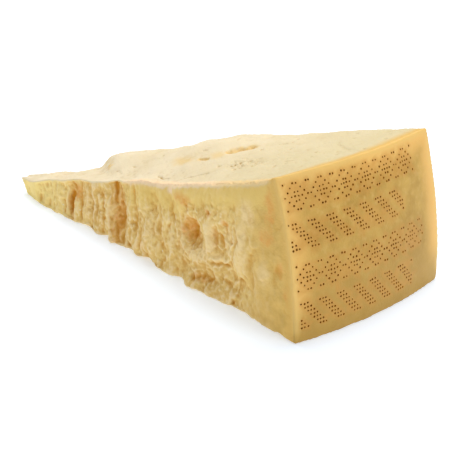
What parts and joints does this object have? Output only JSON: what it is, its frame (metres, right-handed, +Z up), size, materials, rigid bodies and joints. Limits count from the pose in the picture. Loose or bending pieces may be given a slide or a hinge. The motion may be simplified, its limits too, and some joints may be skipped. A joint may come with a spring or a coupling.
{
  "type": "hard cheese wedge",
  "caption": "Wedge split from a wheel of aged hard cheese, from a convex dotted rind face to a thin blunt tip, with flaky split sides, a sloping split top and a flat base.",
  "frame": {"origin": "middle of the chunk's box on the surface that it rests on", "axes": "+X from the thin tip to the rind, +Y from the front split face to the back one, +Z up"},
  "size_m": [0.1986, 0.0852, 0.0629],
  "materials": {
    "cheese_paste": "matte"
  },
  "bodies": {
    "root": {"cheese_chunk": "cheese_paste"}
  },
  "joints": []
}
